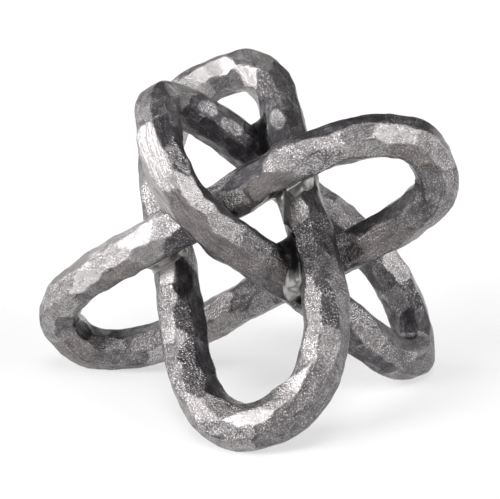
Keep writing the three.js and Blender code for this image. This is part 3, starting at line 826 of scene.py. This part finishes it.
# The looks in these tables are partly the real finish and partly painted light and shade, set per
# flat for how the lamps light it
ACROSS = OvalLink(
    name="across", middle=(0.06, -1.74, 62.03), heading=-11.27, rise=28.82, roll=110.58,
    half_length=93.7, half_width=26.6, squareness=2.4, bar_radius=9.2,
    pear=(0.2, 0.0), lean=0.7, corner=(-1.7, -0.4), twist=(0.0, -1.2), ripple=(2.1, -1.0),
    foot_end=-1, seed=11, marked_length=418.0,
    flats=(
        (5, 52, 0.6, L), (20, 52, 0.9, W), (34, 42, 0.6, G), (49, 45, 0.8, L),
        (66, 48, 0.7, S), (82, 35, 0.5, D), (12, 92, 0.6, T), (30, 88, 0.6, L),
        (52, 80, 0.8, S), (76, 80, 0.8, T), (96, 112, 0.6, T), (96, 70, 0.6, F),
        (110, 90, 0.6, M), (122, 40, 0.8, B), (137, 32, 0.7, W), (134, 86, 0.8, L),
        (153, 48, 0.9, B), (150, 95, 0.6, T), (167, 60, 0.8, W), (168, 105, 0.7, G),
        (178, 45, 0.6, L), (188, 28, 0.6, L), (184, 85, 0.6, L), (200, 58, 0.7, L),
        (199, 108, 0.7, G), (217, 105, 0.8, T), (234, 108, 0.7, G), (230, 152, 0.6, M),
        (246, 96, 0.6, G), (251, 134, 0.7, M), (270, 112, 0.6, M), (290, 142, 0.8, W),
        (291, 100, 0.7, L), (303, 126, 0.6, G), (312, 105, 0.6, L), (356, 158, 0.7, L),
        (352, 120, 0.7, M), (373, 124, 0.7, T), (375, 86, 0.7, T), (393, 112, 0.8, G),
        (410, 98, 0.6, G), (408, 58, 0.6, M),
    ),
    tones=(
        (18, 10, U), (31, 2, D), (1, -2, G), (37, 139, T), (97, -5, R), (123, 93, U),
        (146, -5, R), (158, -4, R), (198, 163, D), (211, 161, D), (214, 197, D),
        (227, 192, G), (239, 189, D), (285, 201, D), (280, 55, T), (217, 63, T),
        (232, 66, G), (367, 168, D), (380, 169, D), (393, 167, D), (405, 152, G),
        (351, 44, D), (257, 198, G), (241, 54, D), (45, 6, D),
    ),
)
THREADED = OvalLink(
    name="threaded", middle=(22.14, 5.24, 67.64), heading=-168.19, rise=41.74, roll=-34.37,
    half_length=82.0, half_width=29.1, squareness=2.1, bar_radius=9.6,
    pear=(-1.9, 0.0), lean=-1.4, corner=(-3.3, -1.9), twist=(-0.8, 0.7), ripple=(1.0, 0.6),
    foot_end=-1, seed=23, marked_length=376.0, closing=(0.948, 9.0),
    flats=(
        (20, 18, 1.0, R), (42, 12, 0.8, T), (28, -26, 0.7, R), (8, 64, 0.7, D),
        (22, 78, 0.8, P), (37, 68, 0.9, W), (56, 68, 0.9, F), (64, 16, 0.8, T),
        (71, 68, 0.7, M), (83, 48, 0.7, T), (85, 2, 0.7, G), (101, 10, 0.6, U),
        (128, 78, 0.9, S), (139, 58, 0.8, M), (153, 52, 0.8, M), (128, 5, 0.8, D),
        (146, 0, 0.7, D), (166, 42, 0.6, G), (152, 95, 0.6, G), (178, 108, 0.6, L),
        (191, 150, 0.8, D), (193, 102, 0.7, D), (208, 160, 0.7, L), (208, 112, 0.8, U),
        (224, 165, 0.7, G), (224, 116, 0.9, B), (263, 128, 0.8, M), (263, 168, 0.7, D),
        (312, 122, 0.6, D), (326, 118, 0.9, X), (334, 155, 0.7, D), (341, 110, 1.0, X),
        (352, 142, 0.6, D), (358, 72, 0.7, W), (364, 114, 0.8, G), (372, 58, 0.8, G),
        (371, 12, 0.7, G), (0, 96, 0.7, G),
    ),
    tones=(
        (348, 54, M), (11, 110, D), (39, 109, G), (50, 103, G), (322, 165, D),
        (327, 208, D), (342, 214, D), (259, 87, L), (168, -5, G), (161, 113, M),
        (193, 199, D), (234, 197, D), (314, 212, D),
    ),
)
UPRIGHT = OvalLink(
    name="upright", middle=(-0.72, -0.92, 68.85), heading=-82.55, rise=-42.0, roll=28.11,
    half_length=91.9, half_width=34.4, squareness=2.05, bar_radius=9.6,
    pear=(-0.5, 0.4), lean=1.0, corner=(-2.4, -1.3), twist=(-1.0, -0.2), ripple=(3.2, -1.8),
    foot_end=1, seed=37, marked_length=422.0,
    flats=(
        (227, 105, 0.9, W), (211, 100, 0.9, W), (216, 150, 0.7, L), (215, 48, 0.7, G),
        (197, 82, 0.6, G), (186, 126, 0.8, W), (188, 62, 0.7, W), (172, 45, 0.9, M),
        (168, 100, 0.8, U), (149, 92, 1.0, X), (152, 45, 0.9, G), (156, 142, 0.7, D),
        (107, 42, 0.7, D), (91, 95, 0.9, A), (92, 45, 0.8, U), (75, 80, 0.8, U),
        (62, 106, 0.8, B), (52, 106, 0.7, L), (57, 60, 0.9, U), (66, 34, 0.6, M),
        (44, 60, 0.9, L), (40, 103, 0.8, B), (32, 114, 0.6, M), (26, 66, 0.9, M),
        (22, 100, 0.8, W), (11, 98, 0.7, B), (0, 85, 0.9, W), (10, 60, 0.7, M),
        (412, 58, 0.8, S), (26, 18, 0.7, G), (8, 18, 0.7, G), (410, 16, 0.7, L),
        (408, 112, 0.9, L), (400, 78, 0.9, L), (387, 102, 0.9, U), (396, 150, 0.7, D),
        (380, 64, 0.8, S), (372, 105, 0.8, A), (363, 96, 0.6, L), (357, 72, 0.8, B),
        (368, 66, 0.6, M), (353, 112, 0.9, U), (342, 76, 0.8, B), (331, 84, 0.6, W),
        (336, 132, 0.9, D), (355, 160, 0.7, D), (375, 152, 0.7, D), (292, 85, 0.7, S),
        (392, 32, 0.6, L), (4, 124, 0.6, L), (28, 148, 0.6, D),
    ),
    tones=(
        (226, 63, L), (227, 156, W), (204, 205, T), (173, 158, B), (92, 146, D),
        (54, 151, M), (344, 164, D), (44, 3, G), (53, 9, G), (71, 148, B), (77, 143, L),
        (199, 152, B), (214, 200, D), (104, 97, L),
    ),
)


@dataclass
class Meeting:
    """A place where two bars touch and are welded. Side 1 is the bar on the short axis's
    side of its oval, side -1 the other. The fillet's waist lies where the wedge between the
    bars is as high as opening, and its face is hollow, with the ripples of the bead.

    After the opening comes how much painted shade darkens the place, on the bars beside it
    and on its weld metal, for the shade that falls between the bars. Each of the beads is
    metal added to the fillet or left out: its direction and half width in degrees, how much
    it adds to the opening in millimetres, and how far it is free of painted shade. Added
    metal swells the face by swelling times as much.
    The bars' closest points are sought in rounds of so many tries, until that is fine_enough.
    """

    name: str
    first: OvalLink
    first_side: int
    second: OvalLink
    second_side: int
    opening: float
    painted_shade: float
    beads: tuple[tuple[float, float, float, float], ...]
    hollow_radius: float = 8.0
    root: float = 2.2
    widest: float = 30.0
    sides: int = 72
    steps: int = 18
    bead: tuple[float, float] = (3.5, 0.55)
    swelling: float = 0.8
    search_steps: int = 1500
    tries: int = 400
    fine_enough: float = 1e-6

    def __post_init__(self) -> None:
        """Finds where the two middle lines come closest, first coarsely and then finely."""
        tries = self.tries
        spans = [(0.25, 0.25) if side > 0 else (0.75, 0.25)
                 for side in (self.first_side, self.second_side)]
        while spans[0][1] > self.fine_enough:
            (a, reach_a), (b, reach_b) = spans
            turns_a = a + reach_a * np.linspace(-1, 1, tries)
            turns_b = b + reach_b * np.linspace(-1, 1, tries)
            apart = self.first.point_at_turn(turns_a)[:, None] - self.second.point_at_turn(turns_b)
            i, j = np.unravel_index(np.argmin((apart ** 2).sum(axis=2)), (tries, tries))
            spans = [(turns_a[i], 4 * reach_a / tries), (turns_b[j], 4 * reach_b / tries)]
        self.turns = (float(spans[0][0]), float(spans[1][0]))
        self.points = (self.first.point_at_turn(self.turns[0]),
                       self.second.point_at_turn(self.turns[1]))
        self.normal = self.points[1] - self.points[0]
        self.normal /= np.linalg.norm(self.normal)

    def seats_of(self, link: OvalLink) -> list[tuple[float, np.ndarray, np.ndarray, float]]:
        """The seats that this meeting gives a link: turn, point, direction and painted shade."""
        ends = ((self.first, 0, self.normal), (self.second, 1, -self.normal))
        return [(self.turns[i], self.points[i], way, self.painted_shade)
                for end, i, way in ends if end is link]

    def fall_away(self, link: OvalLink, sideways: np.ndarray) -> np.ndarray:
        """How far a round bar's skin lies below its seat's plane at a distance to the side."""
        radius = link.bar_radius
        reach = np.minimum(np.abs(sideways), WIDEST_SHARE * radius)
        seat = radius - SEAT_FLAT_DEPTH - SEAT_DRESSING
        return np.maximum(0.0, seat - np.sqrt(radius ** 2 - reach ** 2))

    def make_fillet(self) -> bpy.types.Object:
        """Builds the weld metal: a waisted round body in the wedge between the two bars,
        whose middle follows the saddle halfway between them.

        Returns:
            The object.
        """
        up = self.normal
        sideways = []
        for link, turn in ((self.first, self.turns[0]), (self.second, self.turns[1])):
            ahead = link.point_at_turn(turn + SMALL_TURN) - link.point_at_turn(turn - SMALL_TURN)
            way = np.cross(ahead, up)
            sideways.append(way / np.linalg.norm(way))
        across = sideways[0]
        ahead = np.cross(up, across)
        seat = self.first.bar_radius - SEAT_FLAT_DEPTH - SEAT_DRESSING + SEAT_GAP / 2
        middle = self.points[0] + up * seat

        def falls(spots: np.ndarray) -> tuple[np.ndarray, np.ndarray]:
            """How far the two skins fall away from the seat at some spots of its plane."""
            return (self.fall_away(self.first, spots @ sideways[0]),
                    self.fall_away(self.second, spots @ sideways[1]))

        angle = FULL_TURN * np.arange(self.sides) / self.sides
        ways = np.outer(np.cos(angle), across) + np.outer(np.sin(angle), ahead)
        openings = np.full(self.sides, self.opening)
        # painted shade on the weld metal, eased by each bead; the material adds random clouding
        unshaded = np.full(self.sides, 1 - self.painted_shade)
        filled = np.zeros(self.sides)
        for place, width, more, bead_unshaded in self.beads:
            away = shortest_way(np.degrees(angle) - place, 360.0) / width
            near = np.exp(-away ** 2)
            openings += more * near
            filled += self.swelling * max(more, 0.0) * near
            unshaded += (bead_unshaded - unshaded) * near
        distances = np.linspace(0.0, self.widest, self.search_steps)
        waists = []
        for way, opening in zip(ways, openings):
            fall_a, fall_b = falls(np.outer(distances, way))
            waists.append(distances[np.argmax(fall_a + fall_b + SEAT_GAP >= opening)])
        waists = np.array(waists)
        reach = openings / 2 + self.root
        points = []
        for share in np.linspace(-1, 1, self.steps + 1):
            height = share * reach
            hollow = self.hollow_radius - np.sqrt(self.hollow_radius ** 2 - height ** 2)
            spots = ways * (waists + hollow + filled * (1 - share ** 2))[:, None]
            fall_a, fall_b = falls(spots)
            points.append(spots + (height + (fall_b - fall_a) / 2)[:, None] * up + middle)
        points = np.concatenate(points)
        spacing, depth = self.bead
        bulge = depth * roughen(points, spacing, len(self.name))
        points += np.tile(ways, (self.steps + 1, 1)) * bulge[:, None]
        faces = []
        for i in range(self.steps):
            for j in range(self.sides):
                k = (j + 1) % self.sides
                low, high = i * self.sides, (i + 1) * self.sides
                faces.append((low + j, low + k, high + k, high + j))
        ends = [middle - up * reach.mean(), middle + up * reach.mean()]
        for rim, order in ((0, -1), (self.steps * self.sides, 1)):
            centre = len(points) + (order > 0)
            for j in range(self.sides):
                pair = (rim + j, rim + (j + 1) % self.sides)[::order]
                faces.append((*pair, centre))
        made = mesh_object(self.name, np.concatenate([points, ends]), faces)
        unshaded = np.concatenate([np.tile(unshaded, self.steps + 1), np.zeros(len(ends))])
        paint(made, "unshaded", "FLOAT", unshaded)
        return made


@dataclass
class Sculpture:
    """The whole sculpture: three links, six fillets of weld metal and the closing weld."""

    links: tuple[OvalLink, ...]
    meetings: tuple[Meeting, ...]

    def dress(self, piece: bpy.types.Object, node: str,
              material: bpy.types.Material) -> None:
        """Gives a piece its material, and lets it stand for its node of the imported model.

        Args:
            piece: the piece.
            node: the node that it replaces.
            material: its material.
        """
        piece.data.materials.append(material)
        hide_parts(node)
        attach(piece, "root")
        log.info("%s: %d corners, stands for %s", piece.name, len(piece.data.vertices), node)

    def build(self) -> None:
        """Builds and dresses every piece."""
        cast, weld = SandCastAluminium().make(), WeldAluminium().make()
        for link in self.links:
            seats = [seat for meeting in self.meetings for seat in meeting.seats_of(link)]
            link.strike([(turn, way) for turn, _, way, _ in seats])
            planes = [(point, way, painted_shade) for _, point, way, painted_shade in seats]
            node = "link_" + link.name
            if link.closing is None:
                piece = link.make_bar("skin_" + link.name, 0.0, 1.0, planes)
                self.dress(piece, node, cast)
                continue
            place, width = link.closing
            half = width / 2 / link.length
            piece = link.make_bar("skin_" + link.name, place + half, place + 1 - half, planes)
            self.dress(piece, node, cast)
            filling = link.make_bar("weld_closing", place - half, place + half, planes)
            self.dress(filling, "closing_weld", cast)
        for meeting in self.meetings:
            self.dress(meeting.make_fillet(), meeting.name, weld)


@dataclass(frozen=True)
class Lamp:
    """A big soft lamp, far away: where it stands, seen from the sculpture, in degrees from
    the front towards the right and above the floor, its light, and how broad it looks."""

    name: str
    azimuth: float
    elevation: float
    light: float
    breadth: float

    def make(self) -> None:
        """Puts the lamp into the scene."""
        data = bpy.data.lights.new(self.name, "SUN")
        data.energy = self.light
        data.angle = math.radians(self.breadth)
        lamp = bpy.data.objects.new(self.name, data)
        azimuth, elevation = math.radians(self.azimuth), math.radians(self.elevation)
        towards = Vector((
            math.sin(azimuth) * math.cos(elevation),
            -math.cos(azimuth) * math.cos(elevation),
            math.sin(elevation),
        ))
        lamp.rotation_euler = towards.to_track_quat("Z", "Y").to_euler()
        bpy.context.scene.collection.objects.link(lamp)


@dataclass(frozen=True)
class Studio:
    """The floor, the room's light, the lamps and the camera."""

    room_light: float = 0.21
    floor_radius: float = 3000.0
    cove_radius: float = 1000.0
    cove_steps: int = 12
    floor_sides: int = 96
    lamps: tuple[Lamp, ...] = (
        Lamp("lamp_key", -62.0, 32.0, 1.6, 28.0),
        Lamp("lamp_left", -115.0, 25.0, 1.2, 28.0),
        Lamp("lamp_right", 68.0, 26.0, 0.85, 28.0),
        Lamp("lamp_top", 0.0, 72.0, 0.85, 28.0),
    )
    eye: tuple[float, float, float] = (1.6, -540.6, 234.3)
    pitch: float = 17.68
    yaw: float = 0.29
    focal_pixels: float = 1300.0
    photo_width: int = 500
    sensor: float = 36.0
    nearest: float = 10.0
    farthest: float = 20000.0

    def make_floor(self) -> None:
        """Lays the pale floor, which curves up at its rim like a photographer's cove."""
        angle = FULL_TURN * np.arange(self.floor_sides) / self.floor_sides
        ways = np.stack([np.cos(angle), np.sin(angle), 0 * angle], axis=1)
        rings = [self.floor_radius * ways]
        for bend in np.linspace(0, math.pi / 2, self.cove_steps + 1)[1:]:
            out = self.floor_radius + self.cove_radius * math.sin(bend)
            rings.append(out * ways + self.cove_radius * (1 - math.cos(bend)) * UP)
        faces = [tuple(range(self.floor_sides))]
        for i in range(self.cove_steps):
            for j in range(self.floor_sides):
                k = (j + 1) % self.floor_sides
                inner, outer = i * self.floor_sides, (i + 1) * self.floor_sides
                faces.append((inner + j, outer + j, outer + k, inner + k))
        floor = mesh_object("floor", np.concatenate(rings), faces)
        floor.data.materials.append(PaleCard().make())

    def make_light(self) -> None:
        """Lights the room plainly and sets up the lamps."""
        world = bpy.data.worlds.new("plain_studio")
        world.use_nodes = True
        world.node_tree.nodes["Background"].inputs["Color"].default_value = (1, 1, 1, 1)
        world.node_tree.nodes["Background"].inputs["Strength"].default_value = self.room_light
        bpy.context.scene.world = world
        for lamp in self.lamps:
            lamp.make()

    def make_camera(self) -> None:
        """Sets the camera where the photograph was taken from."""
        data = bpy.data.cameras.new("camera")
        data.sensor_fit = "HORIZONTAL"
        data.sensor_width = self.sensor
        data.lens = self.focal_pixels / self.photo_width * self.sensor
        data.clip_start = self.nearest * MM
        data.clip_end = self.farthest * MM
        camera = bpy.data.objects.new("camera", data)
        turned = Matrix.Rotation(-math.radians(self.yaw), 4, "Z")
        tilted = Matrix.Rotation(math.radians(90 - self.pitch), 4, "X")
        camera.matrix_world = Matrix.Translation(Vector(self.eye) * MM) @ turned @ tilted
        bpy.context.scene.collection.objects.link(camera)
        bpy.context.scene.camera = camera

    def build(self) -> None:
        """Builds the studio."""
        self.make_floor()
        self.make_light()
        self.make_camera()
        bpy.context.scene.view_settings.view_transform = "Standard"


def main() -> None:
    """Builds the studio and the sculpture."""
    logging.basicConfig(level=logging.INFO, format="%(name)s: %(message)s")
    Studio().build()
    # Each meeting: its links and sides, the opening, the painted shade for the shade between the
    # bars, and the beads
    meetings = (
        Meeting("weld_across_threaded_upper", ACROSS, 1, THREADED, 1, 4.4, 0.25,
                ((270, 50, -1.2, 0.1),)),
        Meeting("weld_across_threaded_lower", ACROSS, -1, THREADED, 1, 4.1, 0.5, ()),
        Meeting("weld_threaded_upright_front", THREADED, 1, UPRIGHT, 1, 5.2, 1.0,
                ((235, 18, 1.6, 0.1), (285, 30, -1.6, 0.0), (345, 28, 1.8, 1.0))),
        Meeting("weld_threaded_upright_back", THREADED, -1, UPRIGHT, 1, 5.4, 1.0,
                ((62, 14, 1.0, 0.3), (110, 30, -1.5, 0.0))),
        Meeting("weld_upright_across_right", UPRIGHT, 1, ACROSS, 1, 4.4, 0.05,
                ((262, 45, 1.3, 1.0), (238, 26, 0.55, 1.0))),
        Meeting("weld_upright_across_left", UPRIGHT, -1, ACROSS, 1, 4.6, 0.2,
                ((95, 45, 0.6, 0.9),)),
    )
    Sculpture((ACROSS, THREADED, UPRIGHT), meetings).build()


if __name__ == "__main__":
    main()
